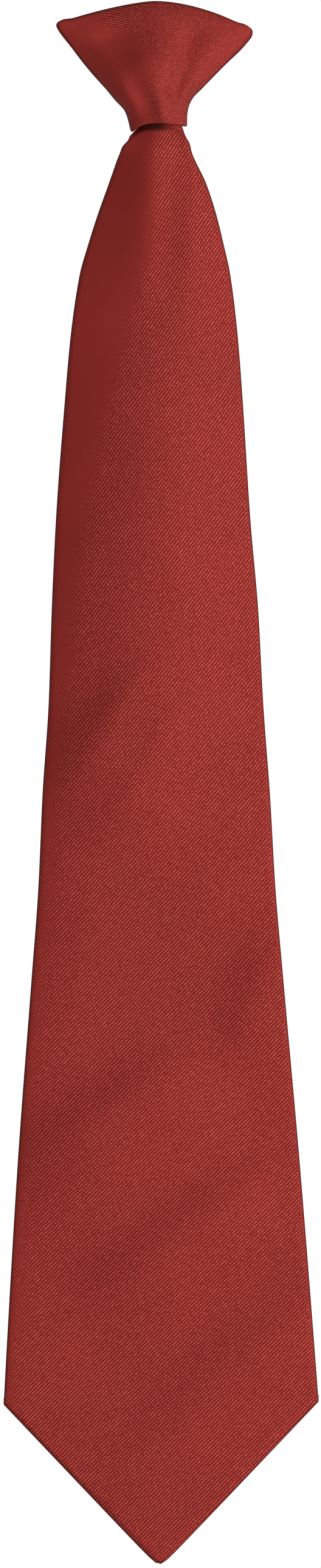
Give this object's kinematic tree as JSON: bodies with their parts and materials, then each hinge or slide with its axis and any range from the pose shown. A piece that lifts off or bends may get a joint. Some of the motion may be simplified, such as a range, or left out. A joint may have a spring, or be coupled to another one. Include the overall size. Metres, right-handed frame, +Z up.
{
  "type": "clip-on necktie",
  "caption": "Ready-tied dark red twill necktie with a wide flared knot, a long pointed blade folded to the back and a hidden clip that hooks over a collar band.",
  "frame": {"origin": "inside the clip's bend, on its middle, where the top edge of a collar band sits", "axes": "+Z up along the blade, -Y towards the viewer on the tie's front, +X to the viewer's right"},
  "size_m": [0.0917, 0.0249, 0.4548],
  "materials": {
    "tie_cloth": "dark red diagonal twill with a soft satin sheen",
    "clip_plastic": "plain black moulded plastic"
  },
  "bodies": {
    "root": {"knot": "tie_cloth", "blade": "tie_cloth", "clip": "clip_plastic"}
  },
  "joints": []
}
